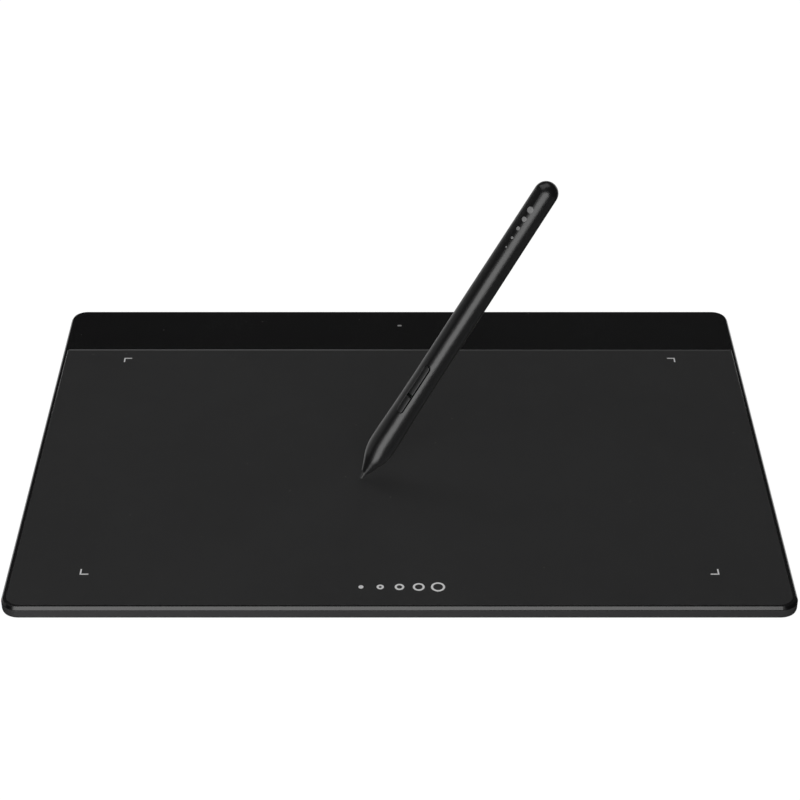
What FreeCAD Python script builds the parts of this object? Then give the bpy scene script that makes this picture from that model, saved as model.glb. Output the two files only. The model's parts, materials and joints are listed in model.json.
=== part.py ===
import FreeCAD, Part

import math
import os

# Pen drawing tablet with its pen standing on the drawing sheet. All sizes are millimetres.
# The origin is the middle of the tablet's footprint, on the desk: +X right, +Y to the rear, +Z up.

V = FreeCAD.Vector
os.makedirs("parts", exist_ok=True)

# Tablet body
tablet_width = 312.6
tablet_depth = 220.8
tablet_height = 8.0
corner_radius = 7.0
foot_height = 1.0
wall = 1.6
floor_thickness = 1.4
taper_inset = 3.2           # how far the bottom face lies inside the wall
taper_height = 1.85
groove_height = 0.15        # shadow line between the two case halves
groove_depth = 0.6
lid_thickness = 1.3
lid_chamfer = 0.8           # how far the bevel goes in
lid_chamfer_height = 1.2
lid_edge_round = 0.2
base_wall_round = 1.2       # where the wall turns into the taper
base_bottom_round = 0.5
lip_height = 1.2            # the lid's tongue, which locates it inside the walls
lip_thickness = 1.0
fit_gap = 0.1

# Drawing sheet, in a shallow recess of the lid
sheet_side_rim = 1.95
sheet_front_rim = 1.8
sheet_rear_y = 76.0
sheet_thickness = 0.35
sheet_gap = 0.12
sheet_edge_round = 0.15
active_width = 254.0
active_depth = 158.75
active_front_y = -89.7

# Screws, their bosses and the ribs that carry the shield plate
thread_gap = 0.03
case_screw_radius = 0.75
case_screw_head_radius = 1.9
case_screw_head_height = 1.0
board_screw_radius = 0.7
board_screw_head_radius = 1.4
board_screw_head_height = 0.8
boss_radius = 3.2
boss_meet = 4.2             # height where the two halves' screw bosses meet
lid_boss_radius = 2.4
counterbore_top = 2.5
board_boss_radius = 2.2
rib_thickness = 1.0
rib_columns = (-120.0, -72.0, -24.0, 24.0, 72.0, 120.0)
rib_rows = (-88.0, -39.0, 10.0, 58.0)

# Rubber feet
foot_length = 30.0
foot_width = 9.0
foot_recess = 0.4

# Layers bonded under the lid
sensor_margin = 5.0
sensor_thickness = 0.8
insulation_thickness = 0.2
shield_thickness = 0.5
shield_rear_y = 60.0
ribbon_width = 14.0
ribbon_thickness = 0.2
connector_height = 1.1

# Controller board and the receptacle in the rear wall
board_width = 84.0
board_front_y = 80.5
board_rear_y = 107.6
board_z = 3.5
board_thickness = 0.8
port_z = 4.6
port_mouth_width = 8.34
port_mouth_height = 2.56
port_metal = 0.3
port_length = 7.35
port_inset = 0.4
port_tongue_width = 6.7
port_tongue_height = 0.7
port_block_depth = 1.1
light_y = 97.2
light_length = 2.0
light_width = 1.2

# Pen: distances are measured along it from the writing tip
pen_length = 150.3
pen_elevation = 56.0        # degrees above the sheet
pen_azimuth = 21.7          # degrees from +X towards +Y
button_roll = -38.2         # turn about the pen from the side that faces the front edge
pen_tip_x = -16.1
pen_tip_y = -25.7
tip_gap = 0.02
nib_ball_radius = 0.7
nib_radius = 0.87
nib_hole_radius = 0.95
nib_travel = 0.6
nib_shaft_end = 24.4
holder_start = 21.5
holder_flange = 25.5
holder_end = 26.5
bulkhead = (23.2, 24.8)
nose_end = 3.6
nose_mouth_radius = 1.35
nose_lip_radius = 1.85
nose_lip_end = 4.1
nose_half_angle = 22.0
shoulder = 18.5             # seam between the nose cone and the barrel
barrel_stations = [(5.88, 18.5), (5.60, 33.0), (5.27, 85.5), (5.05, 145.25)]
bore_radius = 4.1
bore_end = 142.5
slot_start = 35.4
slot_end = 59.2
slot_width = 2.9
button_width = 2.4
button_gap = 1.3
button_clearance = 0.25
button_proud = 0.3
button_edge_round = 0.25
slot_edge_round = 0.15

# Heights that follow from the sizes above
lid_bottom = tablet_height - lid_thickness
floor_top = foot_height + floor_thickness
board_top = board_z + board_thickness
sensor_z = (lid_bottom - sensor_thickness, lid_bottom)
insulation_z = (sensor_z[0] - insulation_thickness, sensor_z[0])
shield_z = (insulation_z[0] - shield_thickness, insulation_z[0])
port_rear_y = tablet_depth / 2 - port_inset
port_front_y = port_rear_y - port_length
sheet_bottom = tablet_height - sheet_thickness
sheet_front_y = -tablet_depth / 2 + sheet_front_rim
sensor_x = (-active_width / 2 - sensor_margin, active_width / 2 + sensor_margin)
sensor_y = (active_front_y - sensor_margin, active_front_y + active_depth + sensor_margin)


def save(shape, name):
    if not shape.isValid():
        raise ValueError(name + " is not a valid solid")
    shape.exportStep("parts/" + name + ".step")
    print(name, len(shape.Solids), "solid(s),", round(shape.Volume, 2), "mm3")


def block(x, y, z):
    """Box from three (low, high) ranges."""
    return Part.makeBox(x[1] - x[0], y[1] - y[0], z[1] - z[0], V(x[0], y[0], z[0]))


def rod(radius, x, y, z):
    """Upright cylinder over the height range z."""
    return Part.makeCylinder(radius, z[1] - z[0], V(x, y, z[0]))


def centred(middle, length):
    return (middle - length / 2, middle + length / 2)


def rounded_outline(x, y, z, radii):
    """Closed wire of a rounded rectangle; radii run front left, front right, rear right, rear left."""
    corners = [(x[0], y[0]), (x[1], y[0]), (x[1], y[1]), (x[0], y[1])]
    inward = [(1, 1), (-1, 1), (-1, -1), (1, -1)]
    start_angle = [180, 270, 0, 90]
    edges = []
    ends = []
    for (cx, cy), (sx, sy), begin, radius in zip(corners, inward, start_angle, radii):
        centre = V(cx + sx * radius, cy + sy * radius, z)
        arc = Part.makeCircle(radius, centre, V(0, 0, 1), begin, begin + 90)
        ends.append((arc.Vertexes[0].Point, arc.Vertexes[1].Point))
        edges.append(arc)
    for k in range(4):
        edges.append(Part.makeLine(ends[k][1], ends[(k + 1) % 4][0]))
    return Part.Wire(Part.__sortEdges__(edges))


def rounded_plate(x, y, z, radii):
    wire = rounded_outline(x, y, z[0], radii)
    return Part.Face(wire).extrude(V(0, 0, z[1] - z[0]))


def case_outline(inset, z):
    half_x = tablet_width / 2 - inset
    half_y = tablet_depth / 2 - inset
    return rounded_outline((-half_x, half_x), (-half_y, half_y), z, [max(corner_radius - inset, 0.5)] * 4)


def case_slab(inset, z):
    return Part.Face(case_outline(inset, z[0])).extrude(V(0, 0, z[1] - z[0]))


def case_taper(inset_low, z_low, inset_high, z_high):
    return Part.makeLoft([case_outline(inset_low, z_low), case_outline(inset_high, z_high)], True, True)


def stadium(length, width, x, y, z):
    """Upright slot shape, its long way along X."""
    shape = block(centred(x, length - width), centred(y, width), z)
    for end in (-1, 1):
        shape = shape.fuse(rod(width / 2, x + end * (length - width) / 2, y, z))
    return shape.removeSplitter()


def port_tube(grow, y):
    """Stadium outline of the receptacle, swelled by grow, run along Y."""
    width = port_mouth_width + 2 * grow
    height = port_mouth_height + 2 * grow
    shape = block(centred(0, width - height), y, centred(port_z, height))
    for end in (-1, 1):
        centre = V(end * (width - height) / 2, y[0], port_z)
        shape = shape.fuse(Part.makeCylinder(height / 2, y[1] - y[0], centre, V(0, 1, 0)))
    return shape.removeSplitter()


def join(shapes):
    whole = shapes[0]
    if len(shapes) > 1:
        whole = whole.fuse(shapes[1:])
    return whole.removeSplitter()


case_screw_places = [(x, y) for y in (-98.5, 99.5) for x in (-143.0, -60.0, 60.0, 143.0)]
board_screw_places = [(x, y) for y in (84.0, 104.0) for x in (-38.5, 38.5)]
foot_places = {
    "foot_front_left": (-118.0, -96.0),
    "foot_front_right": (118.0, -96.0),
    "foot_rear_left": (-118.0, 96.0),
    "foot_rear_right": (118.0, 96.0),
}


def level_edges(shape, heights):
    """Edges that lie flat at one of the given heights."""
    found = []
    for edge in shape.Edges:
        low, high = edge.BoundBox.ZMin, edge.BoundBox.ZMax
        if any(abs(low - z) < 0.001 and abs(high - z) < 0.001 for z in heights):
            found.append(edge)
    return found


def bottom_case():
    taper_top = foot_height + taper_height
    outside = case_taper(taper_inset, foot_height, 0, taper_top)
    outside = outside.fuse(case_slab(0, (taper_top, lid_bottom - groove_height))).removeSplitter()
    outside = outside.makeFillet(base_wall_round, level_edges(outside, [taper_top]))
    outside = outside.makeFillet(base_bottom_round, level_edges(outside, [foot_height]))
    outside = outside.fuse(case_slab(groove_depth, (lid_bottom - groove_height, lid_bottom)))
    floor_inset = wall + taper_inset * (1 - floor_thickness / taper_height)
    hollow = case_taper(floor_inset, floor_top, wall, taper_top)
    hollow = hollow.fuse(case_slab(wall, (taper_top, tablet_height)))
    shape = outside.removeSplitter().cut(hollow)
    root = 0.2              # how deep bosses and ribs run into the floor they stand on
    added = [rod(boss_radius, x, y, (floor_top - root, boss_meet)) for x, y in case_screw_places]
    added += [rod(board_boss_radius, x, y, (floor_top - root, board_z)) for x, y in board_screw_places]
    rib_z = (floor_top - root, shield_z[0])
    column_y = (rib_rows[0] - rib_thickness / 2, rib_rows[-1] + rib_thickness / 2)
    row_x = (rib_columns[0] - rib_thickness / 2, rib_columns[-1] + rib_thickness / 2)
    added += [block(centred(x, rib_thickness), column_y, rib_z) for x in rib_columns]
    added += [block(row_x, centred(y, rib_thickness), rib_z) for y in rib_rows]
    shape = join([shape] + added)
    cuts = []
    for x, y in case_screw_places:
        cuts.append(rod(case_screw_head_radius + 0.2, x, y, (foot_height - 1, counterbore_top)))
        cuts.append(rod(case_screw_radius + 0.15, x, y, (foot_height, boss_meet + 1)))
    for x, y in board_screw_places:
        cuts.append(rod(board_screw_radius + thread_gap, x, y, (floor_top, board_z + 1)))
    for x, y in foot_places.values():
        recess_z = (foot_height - 1, foot_height + foot_recess)
        cuts.append(stadium(foot_length + 2 * fit_gap, foot_width + 2 * fit_gap, x, y, recess_z))
    cuts.append(port_tube(port_metal + fit_gap, (tablet_depth / 2 - 3, tablet_depth / 2 + 1)))
    return shape.cut(Part.makeCompound(cuts))


def top_case():
    chamfer_z = tablet_height - lid_chamfer_height
    crown = case_slab(0, (lid_bottom, chamfer_z))
    crown = crown.fuse(case_taper(0, chamfer_z, lid_chamfer, tablet_height)).removeSplitter()
    crown = crown.makeFillet(lid_edge_round, level_edges(crown, [chamfer_z, tablet_height]))
    lip_outer = wall + fit_gap
    lip = case_slab(lip_outer, (lid_bottom - lip_height, lid_bottom))
    lip = lip.cut(case_slab(lip_outer + lip_thickness, (lid_bottom - lip_height - 1, lid_bottom)))
    added = [rod(lid_boss_radius, x, y, (boss_meet, lid_bottom)) for x, y in case_screw_places]
    shape = join([crown, lip] + added)
    recess_x = (-tablet_width / 2 + sheet_side_rim, tablet_width / 2 - sheet_side_rim)
    recess_y = (sheet_front_y - sheet_gap, sheet_rear_y + sheet_gap)
    cuts = [rounded_plate(recess_x, recess_y, (sheet_bottom, tablet_height + 1), [6.0, 6.0, 0.5, 0.5])]
    for x, y in case_screw_places:
        cuts.append(rod(case_screw_radius + thread_gap, x, y, (boss_meet - 1, lid_bottom + fit_gap)))
    light_z = (lid_bottom - 1, tablet_height + 1)
    cuts.append(stadium(light_length + fit_gap, light_width + fit_gap, 0, light_y, light_z))
    notch_x = centred(0, port_mouth_width + 5)
    notch_y = (tablet_depth / 2 - wall - 3, tablet_depth / 2 - wall)
    cuts.append(block(notch_x, notch_y, (lid_bottom - lip_height - 1, lid_bottom)))
    return shape.cut(Part.makeCompound(cuts))


def drawing_sheet():
    x = (-tablet_width / 2 + sheet_side_rim + sheet_gap, tablet_width / 2 - sheet_side_rim - sheet_gap)
    y = (sheet_front_y, sheet_rear_y)
    sheet = rounded_plate(x, y, (sheet_bottom, tablet_height), [5.8, 5.8, 0.4, 0.4])
    return sheet.makeFillet(sheet_edge_round, level_edges(sheet, [tablet_height]))


def feet():
    made = {}
    for name, (x, y) in foot_places.items():
        made[name] = stadium(foot_length, foot_width, x, y, (0, foot_height + foot_recess))
    return made


def case_screws():
    made = []
    for x, y in case_screw_places:
        head_low = counterbore_top - case_screw_head_height
        head = rod(case_screw_head_radius, x, y, (head_low, counterbore_top))
        shank = rod(case_screw_radius, x, y, (counterbore_top, lid_bottom - 0.2))
        drive = block(centred(x, 2.2), centred(y, 0.5), (head_low - 1, head_low + 0.5))
        drive = drive.fuse(block(centred(x, 0.5), centred(y, 2.2), (head_low - 1, head_low + 0.5)))
        made.append(head.fuse(shank).removeSplitter().cut(drive))
    return Part.makeCompound(made)


def board_screws():
    made = []
    for x, y in board_screw_places:
        head_top = board_top + board_screw_head_height
        head = rod(board_screw_head_radius, x, y, (board_top, head_top))
        shank = rod(board_screw_radius, x, y, (floor_top + 0.1, board_top))
        drive = block(centred(x, 1.6), centred(y, 0.4), (head_top - 0.4, head_top + 1))
        drive = drive.fuse(block(centred(x, 0.4), centred(y, 1.6), (head_top - 0.4, head_top + 1)))
        made.append(head.fuse(shank).removeSplitter().cut(drive))
    return Part.makeCompound(made)


def sensor_board():
    return block(sensor_x, sensor_y, sensor_z)


def insulation_sheet():
    return block((sensor_x[0] + 1, sensor_x[1] - 1), (sensor_y[0] + 1, shield_rear_y + 1), insulation_z)


def shield_plate():
    plate = block((sensor_x[0] + 2, sensor_x[1] - 2), (sensor_y[0] + 2, shield_rear_y), shield_z)
    through = (shield_z[0] - 1, shield_z[1] + 1)
    windows = [rod(3.0, x, y, through) for x in (-96, -48, 48, 96) for y in (-60, 34)]
    return plate.cut(Part.makeCompound(windows))


ribbon_high = sensor_z[0] - 0.7     # the ribbon's underside in each connector
ribbon_low = board_top + 0.5
connector_x = centred(0, ribbon_width + 4.0)
connector_slot_x = centred(0, ribbon_width + 0.6)


def connector_slot(ribbon_under):
    """Height range of a connector's slot, a little more than the ribbon."""
    return (ribbon_under - 0.05, ribbon_under + ribbon_thickness + 0.05)


def ribbon_connectors():
    upper = block(connector_x, (66.5, 70.5), (sensor_z[0] - connector_height, sensor_z[0]))
    upper = upper.cut(block(connector_slot_x, (68.0, 71.0), connector_slot(ribbon_high)))
    lower = block(connector_x, (84.0, 88.0), (board_top, board_top + connector_height))
    lower = lower.cut(block(connector_slot_x, (83.5, 86.5), connector_slot(ribbon_low)))
    return Part.makeCompound([upper, lower])


def ribbon_cable():
    route = [(68.2, ribbon_high), (73.0, ribbon_high), (81.5, ribbon_low), (86.3, ribbon_low)]
    under = [V(-ribbon_width / 2, y, z) for y, z in route]
    over = [V(-ribbon_width / 2, y, z + ribbon_thickness) for y, z in reversed(route)]
    outline = Part.makePolygon(under + over + under[:1])
    return Part.Face(outline).extrude(V(ribbon_width, 0, 0))


def controller_board():
    board = block(centred(0, board_width), (board_front_y, board_rear_y), (board_z, board_top))
    notch_x = centred(0, port_mouth_width + 2 * port_metal + 0.3)
    cuts = [block(notch_x, (port_front_y - 0.4, board_rear_y + 1), (board_z - 1, board_top + 1))]
    for x, y in board_screw_places:
        cuts.append(rod(board_screw_radius + 0.15, x, y, (board_z - 1, board_top + 1)))
    return board.cut(Part.makeCompound(cuts))


def chip(x, y, size_x, size_y, height):
    return block(centred(x, size_x), centred(y, size_y), (board_top, board_top + height))


def board_capacitors():
    places = [(x, y) for x in (-12.0, -8.5, 8.0, 24.0, 28.0, 33.0) for y in (91.0, 94.5)]
    return Part.makeCompound([chip(x, y, 1.6, 0.8, 0.8) for x, y in places])


def port_shell():
    tube = port_tube(port_metal, (port_front_y, port_rear_y))
    tube = tube.cut(port_tube(0, (port_front_y + port_metal, port_rear_y + 1)))
    half = port_mouth_width / 2 + port_metal
    wings = []
    for side in (-1, 1):
        for y in (port_front_y + 1.2, port_front_y + 4.0):
            x = sorted((side * (half - 0.4), side * (half + 1.2)))
            wings.append(block(x, centred(y, 1.0), (board_top, board_top + port_metal)))
    shape = join([tube] + wings)
    return shape.cut(port_tube(0, (port_front_y + port_metal, port_rear_y + 1)))


def port_insulator():
    inner_front = port_front_y + port_metal
    back = port_tube(-0.02, (inner_front, inner_front + port_block_depth))
    tongue_y = (inner_front, port_rear_y - 0.9)
    tongue = block(centred(0, port_tongue_width), tongue_y, centred(port_z, port_tongue_height))
    return join([back, tongue])


def port_contacts():
    pads = []
    pad_thickness = 0.08
    first_y = port_front_y + port_metal + port_block_depth + 0.3
    for side in (-1, 1):
        z = port_z + side * (port_tongue_height + pad_thickness) / 2
        for k in range(12):
            x = (k - 5.5) * 0.5
            pads.append(block(centred(x, 0.25), (first_y, port_rear_y - 1.4), centred(z, pad_thickness)))
    return Part.makeCompound(pads)


def status_led():
    return chip(0, light_y, 1.6, 0.8, 0.6)


def light_pipe():
    stem = stadium(light_length, light_width, 0, light_y, (board_top + 0.75, tablet_height))
    collar = stadium(light_length + 1.4, light_width + 1.4, 0, light_y, (lid_bottom - 0.6, lid_bottom))
    return join([stem, collar])


# ---- the pen, built along +Z from its writing tip with the buttons facing +X, then stood in place ----


def pen_placement():
    """Places the pen's own frame: its +Z becomes the pen's direction, its +X the side with the buttons."""
    up = math.radians(pen_elevation)
    round_z = math.radians(pen_azimuth)
    along = V(math.cos(up) * math.cos(round_z), math.cos(up) * math.sin(round_z), math.sin(up))
    front = V(0, -1, 0)
    facing = front - along * front.dot(along)
    facing.normalize()
    facing = FreeCAD.Rotation(along, button_roll).multVec(facing)
    turn = FreeCAD.Rotation(facing, along.cross(facing), along, "ZXY")
    ball = V(pen_tip_x, pen_tip_y, tablet_height + tip_gap + nib_ball_radius)
    return FreeCAD.Placement(ball - along * nib_ball_radius, turn)


def turned(edges):
    """Solid of revolution about Z from a closed chain of edges in the XZ plane."""
    face = Part.Face(Part.Wire(Part.__sortEdges__(edges)))
    return face.revolve(V(0, 0, 0), V(0, 0, 1), 360)


def at(radius, height):
    return V(radius, 0, height)


def chain(points):
    return [Part.makeLine(a, b) for a, b in zip(points, points[1:])]


def tube(inner, outer, z):
    return Part.makeCylinder(outer, z[1] - z[0], V(0, 0, z[0])).cut(
        Part.makeCylinder(inner, z[1] - z[0] + 2, V(0, 0, z[0] - 1))
    )


def nose_arc():
    """Convex arc of the nose: tangent to the cone at one end and to the pen's axis at the shoulder."""
    angle = math.radians(nose_half_angle)
    shoulder_radius = barrel_stations[0][0]
    cone_radius = nose_lip_radius + math.tan(angle) * (shoulder - nose_lip_end)
    arc_radius = (cone_radius - shoulder_radius) / (math.tan(angle) * math.sin(angle) - (1 - math.cos(angle)))

    def point(turn):
        return at(shoulder_radius - arc_radius * (1 - math.cos(turn)), shoulder - arc_radius * math.sin(turn))

    return point(angle), Part.Arc(point(angle), point(angle / 2), point(0)).toShape()


def pen_nose_cone():
    cone_end, arc = nose_arc()
    chamber_radius = 2.8
    chamber_start = 8.8
    spigot_end = shoulder + 4.0
    mouth = at(nose_mouth_radius, nose_end)
    lip_end = at(nose_lip_radius, nose_lip_end)
    lip = Part.Arc(mouth, at(1.70, 3.75), lip_end).toShape()
    inside = chain([
        at(barrel_stations[0][0], shoulder),
        at(bore_radius - 0.04, shoulder),
        at(bore_radius - 0.04, spigot_end),
        at(chamber_radius, spigot_end),
        at(chamber_radius, chamber_start),
        at(nib_hole_radius, chamber_start),
        at(nib_hole_radius, nose_end),
        mouth,
    ])
    cone = Part.makeLine(lip_end, cone_end)
    return turned([lip, cone, arc] + inside)


def pen_barrel():
    skin = Part.BSplineCurve()
    skin.interpolate(
        Points=[at(radius, height) for radius, height in barrel_stations],
        InitialTangent=V(0, 0, 1),
        FinalTangent=V(0, 0, 1),
    )
    end_radius, end_height = barrel_stations[-1]
    corner = end_radius * math.cos(math.radians(45))
    dome = Part.Arc(at(end_radius, end_height), at(corner, end_height + corner), at(0, pen_length)).toShape()
    inside = chain([
        at(0, pen_length),
        at(0, bore_end),
        at(bore_radius, bore_end),
        at(bore_radius, shoulder),
        at(barrel_stations[0][0], shoulder),
    ])
    barrel = turned([skin.toShape(), dome] + inside)
    barrel = barrel.cut(radial_slot(slot_width, (slot_start, slot_end), (2.0, 8.0)))
    rim = []
    for edge in barrel.Edges:
        if edge.BoundBox.XMin > bore_radius + 0.5 and edge.BoundBox.ZMax < slot_end + 1:
            rim.append(edge)
    return barrel.makeFillet(slot_edge_round, rim)


def radial_slot(width, along, x):
    """Slot with round ends, cut in the +X direction."""
    length = along[1] - along[0]
    shape = block(x, centred(0, width), (along[0] + width / 2, along[1] - width / 2))
    for height in (along[0] + width / 2, along[0] + length - width / 2):
        shape = shape.fuse(Part.makeCylinder(width / 2, x[1] - x[0], V(x[0], 0, height), V(1, 0, 0)))
    return shape.removeSplitter()


pen_board_x = (-0.6, 0.2)
switch_height = 1.5
button_floor = 3.0
button_split = 44.25        # middle of the gap between the two buttons
rear_button_range = (button_split + button_gap / 2, slot_end - button_clearance)
front_button_range = (slot_start + button_clearance, button_split - button_gap / 2)


def pen_button(along, round_end):
    """Button with a retaining flange inside the barrel and a plunger for its switch."""
    radius = button_width / 2
    reach = (3.2, 7.5)
    if round_end == "rear":
        straight = (along[0], along[1] - radius)
        end = along[1] - radius
        flange_along = (along[0] - 0.3, along[1] + 0.8)
    else:
        straight = (along[0] + radius, along[1])
        end = along[0] + radius
        flange_along = (along[0] - 0.8, along[1] + 0.3)
    cap = block(reach, centred(0, button_width), straight)
    cap = cap.fuse(Part.makeCylinder(radius, reach[1] - reach[0], V(reach[0], 0, end), V(1, 0, 0)))
    crown = Part.makeCone(5.50 + button_proud, 5.30 + button_proud, 30, V(0, 0, 30))
    cap = cap.removeSplitter().common(crown)
    rim = []
    for edge in cap.Edges:
        box = edge.BoundBox
        is_seam = box.YLength < 0.01 and abs(box.YMin) < 0.01
        if box.XMin > 5.2 and not is_seam:
            rim.append(edge)
    cap = cap.makeFillet(button_edge_round, rim)
    flange = block((button_floor, 5.0), centred(0, 4.6), flange_along)
    flange = flange.common(Part.makeCylinder(bore_radius - fit_gap, 60, V(0, 0, 10)))
    middle = (along[0] + along[1]) / 2
    plunger_low = pen_board_x[1] + switch_height - 0.15
    plunger = Part.makeCylinder(0.7, button_floor + 0.2 - plunger_low, V(plunger_low, 0, middle), V(1, 0, 0))
    return join([cap, flange, plunger])


def pen_switch(along):
    middle = (along[0] + along[1]) / 2
    body = block((pen_board_x[1], pen_board_x[1] + switch_height), centred(0, 3.0), centred(middle, 3.6))
    well = Part.makeCylinder(0.8, 2.0, V(pen_board_x[1] + switch_height - 0.6, 0, middle), V(1, 0, 0))
    return body.cut(well)


def pen_nib():
    ball = nib_ball_radius
    neck = 2.2
    half_way = at(ball * math.sin(math.pi / 4), ball * (1 - math.cos(math.pi / 4)))
    tip = Part.Arc(at(0, 0), half_way, at(ball, ball)).toShape()
    shaft = [at(nib_radius, neck), at(nib_radius, nib_shaft_end)]
    outline = [at(ball, ball)] + shaft + [at(0, nib_shaft_end), at(0, 0)]
    return turned([tip] + chain(outline))


def nib_holder():
    socket_radius = nib_radius + 0.01
    socket_end = nib_shaft_end + 0.1
    return turned(chain([
        at(socket_radius, holder_start),
        at(1.9, holder_start),
        at(1.9, holder_flange),
        at(2.6, holder_flange),
        at(2.6, holder_end),
        at(0, holder_end),
        at(0, socket_end),
        at(socket_radius, socket_end),
        at(socket_radius, holder_start),
    ]))


def pressure_sensor():
    return Part.makeCylinder(3.1, 3.8, V(0, 0, holder_end + nib_travel + 0.1))


def inner_carrier():
    """Half-round tray under the pen's circuit board, with a bulkhead that stops the nib holder."""
    inside = 3.2
    outside = bore_radius - 0.15
    along = (bulkhead[0], 120.0)
    shell = tube(inside, outside, along)
    shell = shell.common(block((-bore_radius, pen_board_x[0]), (-bore_radius, bore_radius), along))
    return join([shell, tube(2.05, outside, bulkhead)])


def pen_board():
    return block(pen_board_x, centred(0, 7.4), (33.0, 118.0))


def on_pen_board(middle, length, width, height, y=0.0):
    x = (pen_board_x[1], pen_board_x[1] + height)
    return block(x, centred(y, width), centred(middle, length))


def tuning_capacitors():
    rows = [66.0 + 4.0 * k for k in range(4)]
    return Part.makeCompound([on_pen_board(row, 1.6, 0.8, 0.8, y) for row in rows for y in (-1.6, 1.6)])


def place_pen(shape, placement):
    shape.Placement = placement.multiply(shape.Placement)
    return shape


def main():
    save(bottom_case(), "bottom_case")
    save(top_case(), "top_case")
    save(drawing_sheet(), "drawing_sheet")
    for name, shape in feet().items():
        save(shape, name)
    save(case_screws(), "case_screws")
    save(board_screws(), "board_screws")
    save(sensor_board(), "sensor_board")
    save(insulation_sheet(), "insulation_sheet")
    save(shield_plate(), "shield_plate")
    save(ribbon_connectors(), "ribbon_connectors")
    save(ribbon_cable(), "ribbon_cable")
    save(controller_board(), "controller_board")
    save(chip(-22.0, 92.5, 7.0, 7.0, 0.9), "processor_chip")
    save(chip(17.0, 93.0, 6.0, 6.0, 0.9), "signal_chip")
    save(chip(-31.0, 92.0, 3.2, 2.5, 0.8), "clock_crystal")
    save(chip(29.0, 100.0, 3.0, 3.0, 1.0), "voltage_regulator")
    save(board_capacitors(), "board_capacitors")
    save(port_shell(), "port_shell")
    save(port_insulator(), "port_insulator")
    save(port_contacts(), "port_contacts")
    save(status_led(), "status_led")
    save(light_pipe(), "light_pipe")

    pen = {
        "pen_barrel": pen_barrel(),
        "pen_nose_cone": pen_nose_cone(),
        "pen_nib": pen_nib(),
        "nib_holder": nib_holder(),
        "rear_button": pen_button(rear_button_range, "rear"),
        "front_button": pen_button(front_button_range, "front"),
        "rear_switch": pen_switch(rear_button_range),
        "front_switch": pen_switch(front_button_range),
        "ferrite_core": tube(1.15, 2.0, (9.0, 19.0)),
        "resonance_coil": tube(2.03, 2.65, (10.0, 18.0)),
        "pressure_sensor": pressure_sensor(),
        "inner_carrier": inner_carrier(),
        "pen_board": pen_board(),
        "identity_chip": on_pen_board(90.0, 5.0, 4.0, 0.9),
        "tuning_capacitors": tuning_capacitors(),
    }
    placement = pen_placement()
    for name, shape in pen.items():
        save(place_pen(shape, placement), name)


main()
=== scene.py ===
import json
import math

import bpy
import numpy as np
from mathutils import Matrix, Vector


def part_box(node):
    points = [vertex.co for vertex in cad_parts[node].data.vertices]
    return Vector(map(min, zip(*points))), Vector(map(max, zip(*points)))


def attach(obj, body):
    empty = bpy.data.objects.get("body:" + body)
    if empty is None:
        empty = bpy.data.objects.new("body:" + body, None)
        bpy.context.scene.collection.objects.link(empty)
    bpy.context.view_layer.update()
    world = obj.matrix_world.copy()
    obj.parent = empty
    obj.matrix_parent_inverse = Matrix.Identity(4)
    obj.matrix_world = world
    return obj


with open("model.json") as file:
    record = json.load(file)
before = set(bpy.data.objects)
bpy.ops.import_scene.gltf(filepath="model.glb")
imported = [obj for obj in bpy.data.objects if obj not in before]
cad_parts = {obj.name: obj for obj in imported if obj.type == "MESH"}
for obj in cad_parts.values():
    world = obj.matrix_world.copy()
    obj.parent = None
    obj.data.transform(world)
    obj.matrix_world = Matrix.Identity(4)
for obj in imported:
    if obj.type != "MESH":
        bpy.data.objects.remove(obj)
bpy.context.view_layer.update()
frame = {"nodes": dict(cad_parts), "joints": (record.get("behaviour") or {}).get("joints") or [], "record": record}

nodes = frame["nodes"]
scene = bpy.context.scene
mm = 0.001

cameraLook = {
    "place": Vector((0.0002, -0.718, 0.5155)),
    "downTilt": 34.01,            # degrees below the horizon
    "lens": 91.055,
    "sensor": 36.0,
    "nearest": 0.01,
    "farthest": 50.0,
}

studioLook = {
    "floorSize": 9.0,
    "floorColour": (0.12, 0.12, 0.12),
    "floorRoughness": 0.9,
    "floorGloss": 0.1,
    "floorGlow": 0.97,            # lifts the floor to white, so that it shows only faint shadows
    "surround": 0.04,             # brightness of the dark room that the gloss reflects
    "backdrop": 1.0,
}

# each softbox: where it hangs, the point it faces, its width and height in metres, its brightness
softboxes = {
    "overheadSoftbox": dict(place=(-0.25, 0.40, 1.80), aim=(-0.1, 0.15, 0), size=(2.2, 1.4), glow=1.15),
    "frontSoftbox": dict(place=(-0.165, -1.20, 0.50), aim=(-0.165, 0, 0.50), size=(1.32, 1.00), glow=3.6),
    "keySoftbox": dict(place=(-0.62, 0.62, 1.00), aim=(0, 0, 0), size=(0.35, 0.35), glow=1.5),
}

# cards seen only in gloss, some of them lower than the tablet
glossCards = {
    "frontCard": dict(place=(-0.40, -1.20, -0.60), aim=(-0.40, 0, -0.60), size=(0.85, 1.20), glow=3.6),
    "rimCard": dict(place=(-0.62, 0.62, -0.17), aim=(0, 0, -0.17), size=(0.70, 0.70), glow=0.66),
    "leftCard": dict(place=(-0.95, 0.10, 0.10), aim=(0, 0, 0.10), size=(0.70, 0.60), glow=0.42),
    "backCard": dict(place=(0.25, 0.98, -0.22), aim=(0, 0, -0.22), size=(1.30, 0.90), glow=0.8),
    "lowCard": dict(place=(0.75, -0.50, -0.95), aim=(0, 0, 0), size=(1.60, 1.60), glow=0.17),
}


def makeCamera():
    data = bpy.data.cameras.new("studioCamera")
    data.lens = cameraLook["lens"]
    data.sensor_width = cameraLook["sensor"]
    data.clip_start = cameraLook["nearest"]
    data.clip_end = cameraLook["farthest"]
    camera = bpy.data.objects.new("studioCamera", data)
    camera.location = cameraLook["place"]
    camera.rotation_euler = (math.radians(90.0 - cameraLook["downTilt"]), 0.0, 0.0)
    scene.collection.objects.link(camera)
    scene.camera = camera


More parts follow.
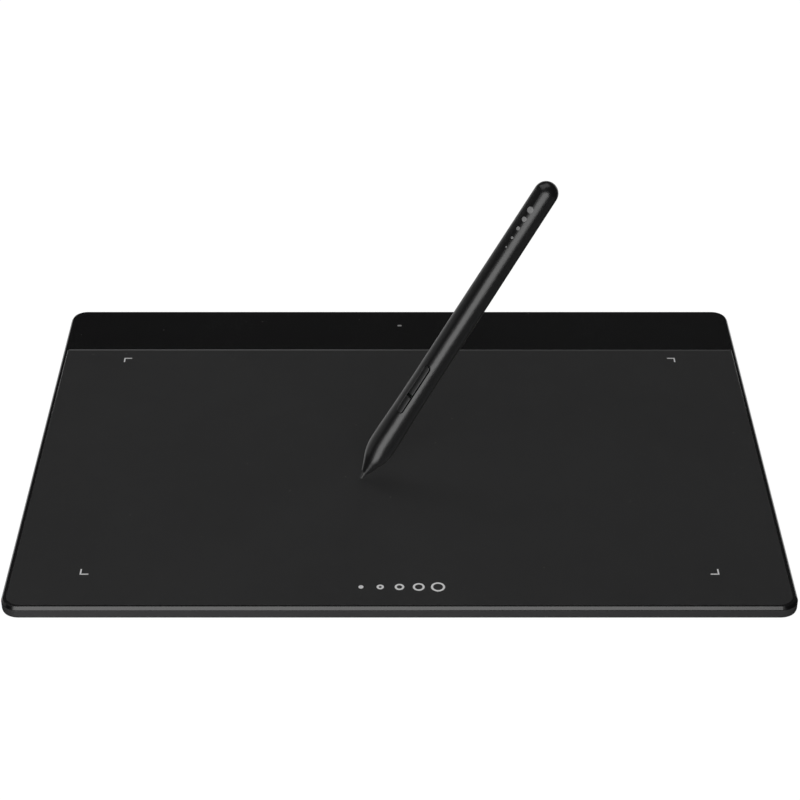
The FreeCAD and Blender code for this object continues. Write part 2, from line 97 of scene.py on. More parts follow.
def makeSoftbox(name, look):
    data = bpy.data.lights.new(name, "AREA")
    data.shape = "RECTANGLE"
    data.size, data.size_y = look["size"]
    data.energy = look["glow"] * math.pi * look["size"][0] * look["size"][1]
    box = bpy.data.objects.new(name, data)
    box.location = look["place"]
    aim = Vector(look["aim"]) - Vector(look["place"])
    box.rotation_euler = aim.to_track_quat("-Z", "Y").to_euler()
    box.visible_camera = False
    scene.collection.objects.link(box)


# Paint that shines by itself, for the floor and the cards.
def glowingPaint(name, colour, gloss, glow):
    paint = bpy.data.materials.new(name)
    paint.use_nodes = True
    shader = paint.node_tree.nodes["Principled BSDF"]
    shader.inputs["Base Color"].default_value = (*colour, 1)
    shader.inputs["Specular IOR Level"].default_value = gloss
    shader.inputs["Emission Color"].default_value = (1, 1, 1, 1)
    shader.inputs["Emission Strength"].default_value = glow
    return paint, shader


# Card that shines only in glossy reflections; it lights nothing else and throws no shadow.
def makeCard(name, look):
    across, upright = np.array(look["size"]) / 2
    flat = [(-across, -upright, 0), (across, -upright, 0), (across, upright, 0), (-across, upright, 0)]
    aim = Vector(look["aim"]) - Vector(look["place"])
    turn = aim.to_track_quat("Z", "Y")
    mesh = bpy.data.meshes.new(name)
    mesh.from_pydata([Vector(look["place"]) + turn @ Vector(corner) for corner in flat], [], [(0, 1, 2, 3)])
    paint, shader = glowingPaint(name + "Light", (0, 0, 0), 0.0, look["glow"])
    paint.cycles.emission_sampling = "NONE"
    mesh.materials.append(paint)
    card = bpy.data.objects.new(name, mesh)
    scene.collection.objects.link(card)
    card.visible_camera = False
    card.visible_diffuse = False
    card.visible_shadow = False
    card.visible_transmission = False


# The camera sees a bright backdrop; every other ray sees a dim room.
def makeWorld():
    world = bpy.data.worlds.new("studioWorld")
    scene.world = world
    world.use_nodes = True
    tree = world.node_tree
    tree.nodes.clear()
    out = tree.nodes.new("ShaderNodeOutputWorld")
    mix = tree.nodes.new("ShaderNodeMixShader")
    path = tree.nodes.new("ShaderNodeLightPath")
    tree.links.new(path.outputs["Is Camera Ray"], mix.inputs["Fac"])
    for socket, part in ((1, "surround"), (2, "backdrop")):
        room = tree.nodes.new("ShaderNodeBackground")
        room.inputs["Color"].default_value = (1, 1, 1, 1)
        room.inputs["Strength"].default_value = studioLook[part]
        tree.links.new(room.outputs[0], mix.inputs[socket])
    tree.links.new(mix.outputs[0], out.inputs["Surface"])


def makeFloor():
    half = studioLook["floorSize"] / 2
    mesh = bpy.data.meshes.new("studioFloor")
    corners = [(-half, -half, 0), (half, -half, 0), (half, half, 0), (-half, half, 0)]
    mesh.from_pydata(corners, [], [(0, 1, 2, 3)])
    floor = bpy.data.objects.new("studioFloor", mesh)
    scene.collection.objects.link(floor)
    paint, shader = glowingPaint("floorPaint", studioLook["floorColour"], studioLook["floorGloss"],
                                 studioLook["floorGlow"])
    shader.inputs["Roughness"].default_value = studioLook["floorRoughness"]
    mesh.materials.append(paint)
    floor.visible_glossy = False
    floor.visible_diffuse = False


scene.view_settings.view_transform = "Standard"
makeCamera()
makeWorld()
makeFloor()
for boxName, boxLook in softboxes.items():
    makeSoftbox(boxName, boxLook)
for cardName, cardLook in glossCards.items():
    makeCard(cardName, cardLook)

# Only the tablet shades the overhead light, so that the pen's shadow on the sheet stays faint. The tablet
# doesn't hide the low cards from the pen's gloss.
tabletPieces = bpy.data.collections.new("tabletPieces")
for name in frame["record"]["behaviour"]["bodies"]["tablet"]:
    nodes[name].visible_glossy = False
    tabletPieces.objects.link(nodes[name])
bpy.data.objects["overheadSoftbox"].light_linking.blocker_collection = tabletPieces
print("camera, floor and", len(softboxes) + len(glossCards), "lights made")


# Empty node group; inputs and outputs are (name, kind, default) with kind Float, Vector or Color.
def newGroup(name, inputs, outputs):
    group = bpy.data.node_groups.new(name, "ShaderNodeTree")
    for label, kind, default in inputs:
        socket = group.interface.new_socket(label, in_out="INPUT", socket_type="NodeSocket" + kind)
        if default is not None:
            socket.default_value = default
    for label, kind in outputs:
        group.interface.new_socket(label, in_out="OUTPUT", socket_type="NodeSocket" + kind)
    start = group.nodes.new("NodeGroupInput")
    end = group.nodes.new("NodeGroupOutput")
    return group, start, end


def addNode(tree, kind, **values):
    node = tree.nodes.new(kind)
    for key, value in values.items():
        setattr(node, key, value)
    return node


def plug(tree, source, target):
    tree.links.new(source, target)


def noiseNode(tree, vector, scale, detail, roughness=0.5):
    noise = addNode(tree, "ShaderNodeTexNoise")
    noise.inputs["Detail"].default_value = detail
    noise.inputs["Roughness"].default_value = roughness
    plug(tree, vector, noise.inputs["Vector"])
    if isinstance(scale, float):
        noise.inputs["Scale"].default_value = scale
    else:
        plug(tree, scale, noise.inputs["Scale"])
    return noise.outputs["Fac"]


def rangeNode(tree, value, low, high, toLow=0.0, toHigh=1.0):
    remap = addNode(tree, "ShaderNodeMapRange")
    plug(tree, value, remap.inputs["Value"])
    for label, number in (("From Min", low), ("From Max", high), ("To Min", toLow), ("To Max", toHigh)):
        if isinstance(number, (int, float)):
            remap.inputs[label].default_value = number
        else:
            plug(tree, number, remap.inputs[label])
    return remap.outputs["Result"]


def mathNode(tree, operation, first, second=None, third=None):
    node = addNode(tree, "ShaderNodeMath", operation=operation)
    for slot, value in enumerate((first, second, third)):
        if value is None:
            continue
        if isinstance(value, (int, float)):
            node.inputs[slot].default_value = value
        else:
            plug(tree, value, node.inputs[slot])
    return node.outputs[0]


# Spark-eroded mould grain: fine noise plus pits from a cell pattern, height and mask from 0 to 1.
def mouldGrainGroup():
    group, start, end = newGroup(
        "mouldGrain",
        [("Vector", "Vector", None), ("Scale", "Float", 3000.0), ("Pits", "Float", 0.4)],
        [("Height", "Float"), ("Mask", "Float")],
    )
    fine = noiseNode(group, start.outputs["Vector"], start.outputs["Scale"], 3.0, 0.6)
    cells = addNode(group, "ShaderNodeTexVoronoi", feature="F1")
    plug(group, start.outputs["Vector"], cells.inputs["Vector"])
    plug(group, start.outputs["Scale"], cells.inputs["Scale"])
    pits = rangeNode(group, cells.outputs["Distance"], 0.0, 0.7)
    pitDepth = mathNode(group, "MULTIPLY", pits, start.outputs["Pits"])
    height = mathNode(group, "ADD", fine, pitDepth)
    plug(group, height, end.inputs["Height"])
    plug(group, rangeNode(group, fine, 0.3, 0.7), end.inputs["Mask"])
    return group


# Smudges from hands: broad cloudy patches broken by streaks, as a mask from 0 to 1.
def handlingGroup():
    group, start, end = newGroup(
        "handling",
        [("Vector", "Vector", None), ("Scale", "Float", 18.0), ("Stretch", "Vector", (1.0, 1.0, 1.0))],
        [("Mask", "Float")],
    )
    stretched = addNode(group, "ShaderNodeVectorMath", operation="MULTIPLY")
    plug(group, start.outputs["Vector"], stretched.inputs[0])
    plug(group, start.outputs["Stretch"], stretched.inputs[1])
    broad = noiseNode(group, stretched.outputs[0], start.outputs["Scale"], 4.0, 0.55)
    finer = mathNode(group, "MULTIPLY", start.outputs["Scale"], 6.0)
    streaks = noiseNode(group, stretched.outputs[0], finer, 2.0, 0.7)
    mixed = mathNode(group, "MULTIPLY_ADD", streaks, 0.35, broad)
    plug(group, rangeNode(group, mixed, 0.5, 0.85), end.inputs["Mask"])
    return group


# Sparse specks of dust: the cores of a few cells of a cell pattern, as a mask from 0 to 1.
def dustGroup():
    group, start, end = newGroup(
        "dust",
        [("Vector", "Vector", None), ("Scale", "Float", 260.0), ("Amount", "Float", 0.08)],
        [("Mask", "Float")],
    )
    cells = addNode(group, "ShaderNodeTexVoronoi", feature="F1")
    plug(group, start.outputs["Vector"], cells.inputs["Vector"])
    plug(group, start.outputs["Scale"], cells.inputs["Scale"])
    core = rangeNode(group, cells.outputs["Distance"], 0.10, 0.05)
    pick = addNode(group, "ShaderNodeSeparateColor")
    plug(group, cells.outputs["Color"], pick.inputs["Color"])
    chosen = mathNode(group, "LESS_THAN", pick.outputs["Red"], start.outputs["Amount"])
    plug(group, mathNode(group, "MULTIPLY", core, chosen), end.inputs["Mask"])
    return group


# Brushing lines on metal: noise stretched along one direction, height from 0 to 1.
def brushedGroup():
    group, start, end = newGroup(
        "brushed",
        [("Vector", "Vector", None), ("Stretch", "Vector", (40.0, 2500.0, 2500.0))],
        [("Height", "Float")],
    )
    stretched = addNode(group, "ShaderNodeVectorMath", operation="MULTIPLY")
    plug(group, start.outputs["Vector"], stretched.inputs[0])
    plug(group, start.outputs["Stretch"], stretched.inputs[1])
    plug(group, noiseNode(group, stretched.outputs[0], 1.0, 3.0, 0.6), end.inputs["Height"])
    return group


groups = {
    "mouldGrain": mouldGrainGroup(),
    "handling": handlingGroup(),
    "dust": dustGroup(),
    "brushed": brushedGroup(),
}


def useGroup(tree, name, vector, **values):
    node = addNode(tree, "ShaderNodeGroup", node_tree=groups[name])
    plug(tree, vector, node.inputs["Vector"])
    for label, value in values.items():
        node.inputs[label].default_value = value
    return node


# Colour that goes from first to second as factor goes from 0 to 1.
def mixColour(tree, factor, first, second):
    mix = addNode(tree, "ShaderNodeMix", data_type="RGBA")
    plug(tree, factor, mix.inputs["Factor"])
    for socket, value in ((mix.inputs[6], first), (mix.inputs[7], second)):
        if isinstance(value, tuple):
            socket.default_value = (*value, 1.0)
        else:
            plug(tree, value, socket)
    return mix.outputs[2]


# Material with a Principled shader; sockets are plain values set on it, with _ for the spaces in their names.
def newMaterial(name, **sockets):
    material = bpy.data.materials.new(name)
    material.use_nodes = True
    tree = material.node_tree
    shader = tree.nodes["Principled BSDF"]
    for label, value in sockets.items():
        shader.inputs[label.replace("_", " ")].default_value = value
    place = addNode(tree, "ShaderNodeTexCoord").outputs["Object"]
    return material, tree, shader, place


def addBump(tree, shader, height, depth):
    bump = addNode(tree, "ShaderNodeBump")
    bump.inputs["Strength"].default_value = 1.0
    bump.inputs["Distance"].default_value = depth
    plug(tree, height, bump.inputs["Height"])
    plug(tree, bump.outputs["Normal"], shader.inputs["Normal"])


# what differs between the plastics, rubbers and coatings: two colours, low and high roughness, size and depth
# of the grain, how deep its pits are, size of the smudges, share of dust, index of refraction
plasticLooks = {
    "sheetFilm": dict(dark=(0.0086, 0.0086, 0.0088), light=(0.0184, 0.0184, 0.0187), rough=(0.52, 0.66),
                      grain=5200.0, depth=0.035 * mm, pits=0.5, smudge=9.0, dust=0.05, ior=1.42),
    "lidPlastic": dict(dark=(0.0016, 0.0016, 0.0017), light=(0.0028, 0.0028, 0.0030), rough=(0.21, 0.28),
                       grain=6500.0, depth=0.004 * mm, pits=0.2, smudge=14.0, dust=0.05, ior=1.5),
    "basePlastic": dict(dark=(0.0300, 0.0300, 0.0305), light=(0.0410, 0.0410, 0.0418), rough=(0.42, 0.56),
                        grain=2600.0, depth=0.018 * mm, pits=0.6, smudge=20.0, dust=0.04, ior=1.46,
                        specular=0.12),
    "footRubber": dict(dark=(0.0060, 0.0060, 0.0060), light=(0.0120, 0.0120, 0.0120), rough=(0.62, 0.8),
                       grain=1900.0, depth=0.03 * mm, pits=0.5, smudge=60.0, dust=0.12, ior=1.5),
    "penCoating": dict(dark=(0.0045, 0.0045, 0.0047), light=(0.0070, 0.0070, 0.0073), rough=(0.26, 0.32),
                       grain=7000.0, depth=0.003 * mm, pits=0.2, smudge=70.0, dust=0.03, ior=1.5),
    "buttonPlastic": dict(dark=(0.0050, 0.0050, 0.0052), light=(0.0070, 0.0070, 0.0072), rough=(0.32, 0.40),
                          grain=9000.0, depth=0.002 * mm, pits=0.1, smudge=120.0, dust=0.02, ior=1.5),
    "nibPlastic": dict(dark=(0.010, 0.010, 0.010), light=(0.020, 0.020, 0.020), rough=(0.50, 0.65),
                       grain=8000.0, depth=0.004 * mm, pits=0.3, smudge=300.0, dust=0.0, ior=1.5),
    "paleEngineeringPlastic": dict(dark=(0.52, 0.50, 0.45), light=(0.66, 0.64, 0.58), rough=(0.35, 0.5),
                                   grain=5000.0, depth=0.004 * mm, pits=0.2, smudge=200.0, dust=0.0, ior=1.5),
    "darkEngineeringPlastic": dict(dark=(0.020, 0.020, 0.021), light=(0.034, 0.034, 0.035), rough=(0.4, 0.55),
                                   grain=5000.0, depth=0.006 * mm, pits=0.3, smudge=100.0, dust=0.0, ior=1.5),
    "insulationFilm": dict(dark=(0.60, 0.52, 0.30), light=(0.72, 0.64, 0.40), rough=(0.25, 0.4),
                           grain=1500.0, depth=0.003 * mm, pits=0.1, smudge=25.0, dust=0.02, ior=1.6),
    "ribbonFilm": dict(dark=(0.30, 0.16, 0.04), light=(0.46, 0.27, 0.08), rough=(0.25, 0.35),
                       grain=4000.0, depth=0.002 * mm, pits=0.1, smudge=80.0, dust=0.0, ior=1.6),
    "chipEpoxy": dict(dark=(0.012, 0.012, 0.012), light=(0.030, 0.030, 0.030), rough=(0.5, 0.7),
                      grain=9000.0, depth=0.008 * mm, pits=0.6, smudge=200.0, dust=0.0, ior=1.55),
    "ferriteCeramic": dict(dark=(0.030, 0.030, 0.033), light=(0.075, 0.075, 0.080), rough=(0.35, 0.5),
                           grain=6000.0, depth=0.006 * mm, pits=0.7, smudge=200.0, dust=0.0, ior=1.9),
    "capacitorCeramic": dict(dark=(0.28, 0.17, 0.09), light=(0.42, 0.28, 0.17), rough=(0.3, 0.45),
                             grain=8000.0, depth=0.003 * mm, pits=0.3, smudge=300.0, dust=0.0, ior=1.6),
}


# what all the plastics share: dust and how far it covers, and how hands darken and polish
wearLook = {
    "dustColour": (0.30, 0.29, 0.27),
    "dustCover": 0.25,
    "smudgeTint": 0.3,
    "smudgePolish": -0.5,
    "plainGloss": 0.5,            # for a finish that names no specular level of its own
}


# Colour drifts between two shades with the grain and lightens where dust lies; hands polish the roughness.
def plasticMaterial(name):
    look = plasticLooks[name]
    specular = look.get("specular", wearLook["plainGloss"])
    material, tree, shader, place = newMaterial(name, IOR=look["ior"], Specular_IOR_Level=specular)
    grain = useGroup(tree, "mouldGrain", place, Scale=look["grain"], Pits=look["pits"])
    smudge = useGroup(tree, "handling", place, Scale=look["smudge"])
    specks = useGroup(tree, "dust", place, Amount=look["dust"])
    blend = mathNode(tree, "MULTIPLY_ADD", smudge.outputs["Mask"], wearLook["smudgeTint"],
                     grain.outputs["Mask"])
    colour = mixColour(tree, blend, look["dark"], look["light"])
    dustShare = mathNode(tree, "MULTIPLY", specks.outputs["Mask"], wearLook["dustCover"])
    dusty = mixColour(tree, dustShare, colour, wearLook["dustColour"])
    plug(tree, dusty, shader.inputs["Base Color"])
    low, high = look["rough"]
    polish = mathNode(tree, "MULTIPLY_ADD", smudge.outputs["Mask"], wearLook["smudgePolish"],
                      grain.outputs["Mask"])
    plug(tree, rangeNode(tree, polish, -0.4, 1.0, low, high), shader.inputs["Roughness"])
    addBump(tree, shader, grain.outputs["Height"], look["depth"])
    return material


metalLooks = {
    "blackenedSteel": dict(dark=(0.05, 0.05, 0.052), light=(0.10, 0.10, 0.104), rough=(0.3, 0.45)),
    "platedSteel": dict(dark=(0.50, 0.50, 0.49), light=(0.66, 0.66, 0.65), rough=(0.2, 0.34)),
    "shieldSteel": dict(dark=(0.44, 0.44, 0.43), light=(0.60, 0.60, 0.59), rough=(0.25, 0.42)),
    "goldPlate": dict(dark=(0.72, 0.48, 0.16), light=(0.88, 0.64, 0.28), rough=(0.16, 0.3)),
}
metalWear = {
    "smudge": 60.0,               # size of the smudges, as a noise scale
    "polish": 0.4,                # how far they change the roughness
    "depth": 0.003 * mm,          # of the brushing lines
}


# Brushed metal: fine lines set the bump and a little of the colour and roughness.
def metalMaterial(name):
    look = metalLooks[name]
    material, tree, shader, place = newMaterial(name, Metallic=1.0)
    lines = useGroup(tree, "brushed", place)
    smudge = useGroup(tree, "handling", place, Scale=metalWear["smudge"])
    colour = mixColour(tree, lines.outputs["Height"], look["dark"], look["light"])
    plug(tree, colour, shader.inputs["Base Color"])
    low, high = look["rough"]
    wear = mathNode(tree, "MULTIPLY_ADD", smudge.outputs["Mask"], metalWear["polish"],
                    lines.outputs["Height"])
    plug(tree, rangeNode(tree, wear, 0.3, 1.0, low, high), shader.inputs["Roughness"])
    addBump(tree, shader, lines.outputs["Height"], metalWear["depth"])
    return material


# Enamelled copper turns: bands across the pen's own direction, worked out as a dot product with it. The colour
# darkens between the turns as painted shade in the grooves.
def coilMaterial():
    look = {
        "wireSize": 0.16 * mm,
        "dark": (0.28, 0.09, 0.03),
        "light": (0.72, 0.30, 0.13),
        "rough": (0.5, 0.25),             # between the turns and on their tops
        "depth": 0.05 * mm,
    }
    material, tree, shader, place = newMaterial("coilCopper", Metallic=1.0)
    along = addNode(tree, "ShaderNodeVectorMath", operation="DOT_PRODUCT")
    plug(tree, place, along.inputs[0])
    along.inputs[1].default_value = tuple(penAxis)
    phase = mathNode(tree, "MULTIPLY", along.outputs["Value"], 2 * math.pi / look["wireSize"])
    wave = mathNode(tree, "SINE", phase)
    turns = rangeNode(tree, wave, -1.0, 1.0)
    # painted shade: the dark colour sits in the grooves between the turns, the light one on their tops
    plug(tree, mixColour(tree, turns, look["dark"], look["light"]), shader.inputs["Base Color"])
    plug(tree, rangeNode(tree, turns, 0.0, 1.0, *look["rough"]), shader.inputs["Roughness"])
    addBump(tree, shader, turns, look["depth"])
    return material


# Circuit board: solder mask over a grid of copper tracks, with bright pads at some crossings.
def boardMaterial(name, pitch):
    look = {
        "mask": (0.012, 0.060, 0.026),
        "track": (0.030, 0.120, 0.050),
        "pad": (0.62, 0.60, 0.56),
        "trackWidth": (0.10, 0.06),       # where a track's edge starts and ends, as shares of the pitch
        "padSpread": 0.35,                # scale of the noise that picks pads, in turns per pitch
        "padLevel": 0.56,                 # only crossings where that noise is above it get a pad
        "rough": (0.22, 0.38),
        "depth": 0.03 * mm,
    }
    material, tree, shader, place = newMaterial(name, IOR=1.55)
    split = addNode(tree, "ShaderNodeSeparateXYZ")
    plug(tree, place, split.inputs[0])
    bands = []
    for axis in ("X", "Y"):
        cell = mathNode(tree, "PINGPONG", split.outputs[axis], pitch / 2)
        outer, inner = look["trackWidth"]
        bands.append(rangeNode(tree, cell, pitch * outer, pitch * inner))
    tracks = mathNode(tree, "MAXIMUM", bands[0], bands[1])
    crossing = mathNode(tree, "MULTIPLY", bands[0], bands[1])
    spread = noiseNode(tree, place, look["padSpread"] / pitch, 1.0)
    picked = mathNode(tree, "GREATER_THAN", spread, look["padLevel"])
    pads = mathNode(tree, "MULTIPLY", crossing, picked)
    colour = mixColour(tree, tracks, look["mask"], look["track"])
    plug(tree, mixColour(tree, pads, colour, look["pad"]), shader.inputs["Base Color"])
    plug(tree, pads, shader.inputs["Metallic"])
    grain = useGroup(tree, "mouldGrain", place, Scale=5000.0, Pits=0.2)
    plug(tree, rangeNode(tree, grain.outputs["Mask"], 0.0, 1.0, *look["rough"]), shader.inputs["Roughness"])
    addBump(tree, shader, tracks, look["depth"])
    return material


# Frosted clear plastic of the light pipe: fine grain in the roughness and a faint clouding.
def clearMaterial():
    look = {
        "dark": (0.42, 0.42, 0.42),
        "light": (0.56, 0.56, 0.56),
        "clear": 0.25,                    # share of light that passes through
        "rough": (0.3, 0.45),
        "grain": 6000.0,
        "depth": 0.004 * mm,
    }
    material, tree, shader, place = newMaterial("lightPipeClear", IOR=1.49, Transmission_Weight=look["clear"])
    grain = useGroup(tree, "mouldGrain", place, Scale=look["grain"], Pits=0.3)
    colour = mixColour(tree, grain.outputs["Mask"], look["dark"], look["light"])
    plug(tree, colour, shader.inputs["Base Color"])
    plug(tree, rangeNode(tree, grain.outputs["Mask"], 0.0, 1.0, *look["rough"]), shader.inputs["Roughness"])
    addBump(tree, shader, grain.outputs["Height"], look["depth"])
    return material


# greys of the printed marks and of the painted highlight along the film's rear edge, darkest and lightest, and
# their roughness
printLooks = {
    "paleInk": dict(dark=0.74, light=0.90, rough=(0.5, 0.65)),
    "paintedEdgeHighlight": dict(dark=0.055, light=0.075, rough=(0.7, 0.85)),
    "dimInk": dict(dark=0.16, light=0.26, rough=(0.45, 0.60)),
}


# Screen-printed ink, also used for the pale strip of painted highlight on the film's rear edge: fine uneven cover,
# so the colour and roughness break up with the grain.
def printMaterial(name):
    look = printLooks[name]
    material, tree, shader, place = newMaterial(name, IOR=1.5)
    grain = useGroup(tree, "mouldGrain", place, Scale=6500.0, Pits=0.5)
    colour = mixColour(tree, grain.outputs["Mask"], (look["dark"],) * 3, (look["light"],) * 3)
    plug(tree, colour, shader.inputs["Base Color"])
    plug(tree, rangeNode(tree, grain.outputs["Mask"], 0.0, 1.0, *look["rough"]), shader.inputs["Roughness"])
    addBump(tree, shader, grain.outputs["Height"], 0.01 * mm)
    return material


joints = {joint["name"]: joint for joint in frame["joints"]}
penAxis = Vector(joints["nib_press"]["axis"]).normalized()
buttonSide = -Vector(joints["rear_button_press"]["axis"]).normalized()
penAcross = penAxis.cross(buttonSide)

nibPoints = np.array([vertex.co for vertex in nodes["pen_nib"].data.vertices])
penBase = nibPoints[np.argmin(nibPoints @ np.array(penAxis))]


# Point beside the pen: along it from the tip, out by radius, turned by angle from the button side.
def penPoint(along, radius, angle):
    side = np.cos(angle)[..., None] * np.array(buttonSide) + np.sin(angle)[..., None] * np.array(penAcross)
    return penBase + along[..., None] * np.array(penAxis) + radius[..., None] * side


materials = {name: plasticMaterial(name) for name in plasticLooks}
materials.update({name: metalMaterial(name) for name in metalLooks})
materials["coilCopper"] = coilMaterial()
materials["sensorLaminate"] = boardMaterial("sensorLaminate", 5.0 * mm)
materials["boardLaminate"] = boardMaterial("boardLaminate", 1.2 * mm)
materials["lightPipeClear"] = clearMaterial()
materials.update({name: printMaterial(name) for name in printLooks})
print(len(materials), "materials made")

nodeFinishes = {
    "sheetFilm": ["drawing_sheet"],
    "lidPlastic": ["top_case"],
    "basePlastic": ["bottom_case"],
    "footRubber": ["foot_front_left", "foot_front_right", "foot_rear_left", "foot_rear_right"],
    "penCoating": ["pen_barrel", "pen_nose_cone"],
    "buttonPlastic": ["rear_button", "front_button"],
    "nibPlastic": ["pen_nib"],
    "paleEngineeringPlastic": ["nib_holder", "pressure_sensor", "ribbon_connectors", "status_led"],
    "darkEngineeringPlastic": ["port_insulator", "inner_carrier", "rear_switch", "front_switch"],
    "insulationFilm": ["insulation_sheet"],
    "ribbonFilm": ["ribbon_cable"],
    "chipEpoxy": ["processor_chip", "signal_chip", "voltage_regulator", "identity_chip"],
    "ferriteCeramic": ["ferrite_core"],
    "capacitorCeramic": ["board_capacitors", "tuning_capacitors"],
    "blackenedSteel": ["case_screws"],
    "platedSteel": ["port_shell", "board_screws", "clock_crystal"],
    "shieldSteel": ["shield_plate"],
    "goldPlate": ["port_contacts"],
    "coilCopper": ["resonance_coil"],
    "sensorLaminate": ["sensor_board"],
    "boardLaminate": ["controller_board", "pen_board"],
    "lightPipeClear": ["light_pipe"],
}


def dressNodes():
    for finish, names in nodeFinishes.items():
        for name in names:
            node = nodes[name]
            if not node.material_slots:
                node.data.materials.append(materials[finish])
            for place in node.material_slots:
                place.material = materials[finish]
    dressed = {name for names in nodeFinishes.values() for name in names}
    bare = sorted(set(nodes) - dressed)
    print("dressed", len(dressed), "nodes; without a finish:", bare)


dressNodes()


def addPiece(name, points, faces, finish, body):
    mesh = bpy.data.meshes.new(name)
    mesh.from_pydata([tuple(point) for point in points], [], [tuple(face) for face in faces])
    mesh.update()
    piece = bpy.data.objects.new(name, mesh)
    scene.collection.objects.link(piece)
    mesh.materials.append(materials[finish])
    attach(piece, body)
    return piece


# Points and faces of a flat shape given a thickness: its outline at two heights, caps and side walls.
def raisedOutline(outline, low, high):
    count = len(outline)
    under = np.column_stack([outline, np.full(count, low)])
    over = np.column_stack([outline, np.full(count, high)])
    ring = np.arange(count)
    after = (ring + 1) % count
    walls = np.column_stack([ring, after, after + count, ring + count])
    faces = [list(ring[::-1]), list(ring + count)] + walls.tolist()
    return np.vstack([under, over]), faces


sheetLow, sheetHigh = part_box("drawing_sheet")

markLook = {
    "sideInset": 27.3 * mm,       # from the sheet's edges to the lines of the marks
    "frontInset": 18.9 * mm,
    "rearInset": 7.4 * mm,
    "arm": 3.2 * mm,
    "line": 0.6 * mm,
    "thickness": 0.02 * mm,
}


# Four L shapes that frame the active area, each an outline of six corners mirrored into place.
def makeCornerMarks():
    look = markLook
    half = look["line"] / 2
    arm = look["arm"]
    corner = np.array([(-half, -half), (arm, -half), (arm, half), (half, half), (half, arm), (-half, arm)])
    points = []
    faces = []
    for signX, x in ((1, sheetLow.x + look["sideInset"]), (-1, sheetHigh.x - look["sideInset"])):
        for signY, y in ((1, sheetLow.y + look["frontInset"]), (-1, sheetHigh.y - look["rearInset"])):
            outline = corner * (signX, signY) + (x, y)
            if signX * signY < 0:
                outline = outline[::-1]
            own, ownFaces = raisedOutline(outline, sheetHigh.z, sheetHigh.z + look["thickness"])
            faces += [[k + len(points) for k in face] for face in ownFaces]
            points += own.tolist()
    addPiece("cornerMarks", points, faces, "paleInk", "tablet")


# size and place of the strip of painted highlight along the film's rear edge
edgeHighlightLook = {
    "width": 0.8 * mm,
    "rearGap": 0.15 * mm,         # the rounding of the film's rear edge
    "sideGap": 0.6 * mm,          # from the sheet's corners to the ends of the edge
    "thickness": 0.02 * mm,
}


# Painted highlight along the film's cut rear edge: one long flat strip, a little paler than the film's face,
# standing in for the light that edge catches.
def makePaintedEdgeHighlight():
    look = edgeHighlightLook
    left = sheetLow.x + look["sideGap"]
    right = sheetHigh.x - look["sideGap"]
    rear = sheetHigh.y - look["rearGap"]
    front = rear - look["width"]
    outline = np.array([(left, front), (right, front), (right, rear), (left, rear)])
    points, faces = raisedOutline(outline, sheetHigh.z, sheetHigh.z + look["thickness"])
    addPiece("filmEdgeHighlight", points, faces, "paintedEdgeHighlight", "tablet")


glyphLook = {
    "frontInset": 10.9 * mm,      # from the sheet's front edge to the middle of the row
    "pitch": 7.6 * mm,
    "radii": (1.00 * mm, 1.45 * mm, 1.90 * mm, 2.35 * mm, 2.80 * mm),
    "ringWidth": 0.85 * mm,
    "smallestHole": 0.12 * mm,    # inner radius that even the smallest ring keeps
    "thickness": 0.02 * mm,
    "steps": 48,
}


# Flat ring with thickness: four circles (inner and outer, low and high) joined in order round its section.
def ringPiece(centre, inner, outer, low, high, steps):
    angle = np.linspace(0, 2 * math.pi, steps, endpoint=False)
    circle = np.column_stack([np.cos(angle), np.sin(angle)])
    loops = []
    for radius, height in ((outer, low), (outer, high), (inner, high), (inner, low)):
        loops.append(np.column_stack([centre[0] + radius * circle[:, 0], centre[1] + radius * circle[:, 1],
                                      np.full(steps, height)]))
    points = np.vstack(loops)
    ring = np.arange(steps)
    after = (ring + 1) % steps
    faces = []
    for k in range(len(loops)):
        here = k * steps
        there = (k + 1) % len(loops) * steps
        faces += np.column_stack([ring + here, after + here, after + there, ring + there]).tolist()
    return points, faces


# Row of five rings that grow from left to right, the usual picture for brush size.
def makeSizeGlyph():
    look = glyphLook
    points = []
    faces = []
    for k, radius in enumerate(look["radii"]):
        centre = ((k - 2) * look["pitch"], sheetLow.y + look["frontInset"])
        inner = max(radius - look["ringWidth"], look["smallestHole"])
        top = sheetHigh.z + look["thickness"]
        own, ownFaces = ringPiece(centre, inner, radius, sheetHigh.z, top, look["steps"])
        faces += [[j + len(points) for j in face] for face in ownFaces]
        points += own.tolist()
    addPiece("sizeGlyph", points, faces, "paleInk", "tablet")


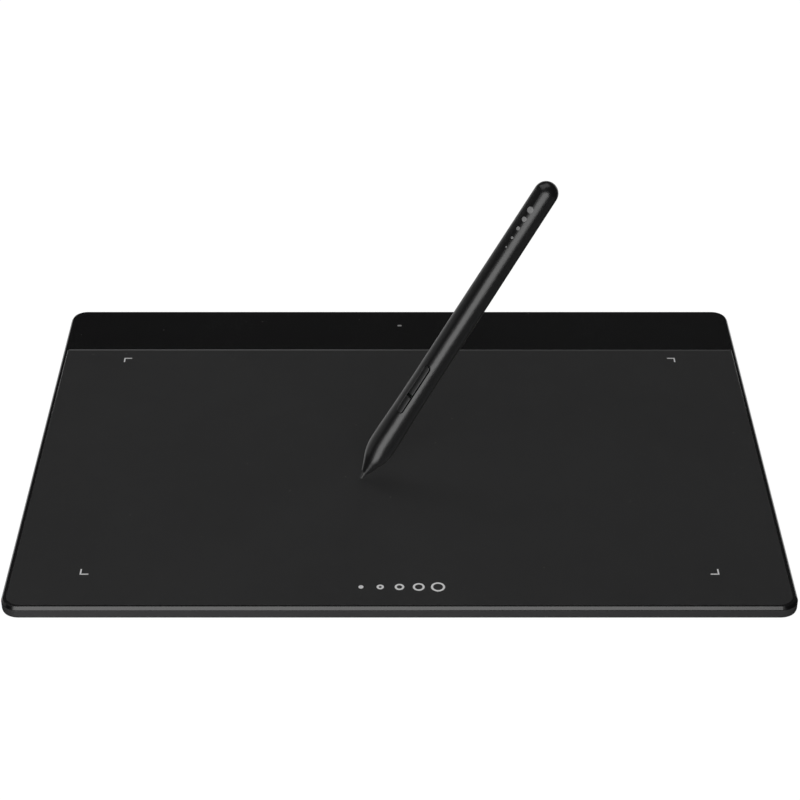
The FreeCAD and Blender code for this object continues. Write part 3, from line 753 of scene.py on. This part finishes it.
penGlyphLook = {
    "start": 119.0 * mm,          # along the pen from its tip
    "pitch": 4.5 * mm,
    "radii": (0.35 * mm, 0.55 * mm, 0.80 * mm, 1.05 * mm, 1.35 * mm),
    "stations": (18.5 * mm, 33.0 * mm, 85.5 * mm, 145.25 * mm),   # distances from the tip
    "barrelRadii": (5.88 * mm, 5.60 * mm, 5.27 * mm, 5.05 * mm),  # the barrel's radius at each of them
    "proud": 0.015 * mm,
    "sunk": 0.05 * mm,
    "steps": 32,
    "rings": 6,
}


# Row of five dots that grow up the barrel. Each is a disc in rings wrapped on it: a point at distance t
# along and u around goes to angle u / r. The same disc, sunk a little, closes the back, and a wall joins
# their rims.
def makePenGlyph():
    look = penGlyphLook
    turn = np.linspace(0, 2 * math.pi, look["steps"], endpoint=False)
    points = []
    faces = []
    for k, size in enumerate(look["radii"]):
        share = np.linspace(0, 1, look["rings"] + 1)[1:, None]
        along = look["start"] + k * look["pitch"] + np.append(0.0, (share * size * np.cos(turn)).ravel())
        around = np.append(0.0, (share * size * np.sin(turn)).ravel())
        radius = np.interp(along, look["stations"], look["barrelRadii"])
        ring = np.arange(look["steps"])
        after = (ring + 1) % look["steps"]
        start = 1 + ring + look["steps"] * np.arange(look["rings"])[:, None]
        afterStart = 1 + after + look["steps"] * np.arange(look["rings"])[:, None]
        count = len(along)
        discs = [[0, a, b] for a, b in zip(afterStart[0], start[0])]
        for j in range(look["rings"] - 1):
            discs += np.column_stack([start[j], afterStart[j], afterStart[j + 1], start[j + 1]]).tolist()
        wall = np.column_stack([start[-1], afterStart[-1], afterStart[-1] + count, start[-1] + count])
        both = discs + [[i + count for i in face[::-1]] for face in discs] + wall.tolist()
        for lift in (look["proud"], -look["sunk"]):
            own = penPoint(along, radius + lift, around / radius)
            points += own.tolist()
        faces += [[int(i) + 2 * count * k for i in face] for face in both]
    addPiece("penGlyph", points, faces, "dimInk", "pen")


# the strip of painted highlight on the film's rear edge first, then the printed marks
makePaintedEdgeHighlight()
makeCornerMarks()
makeSizeGlyph()
makePenGlyph()
print("printed marks made")
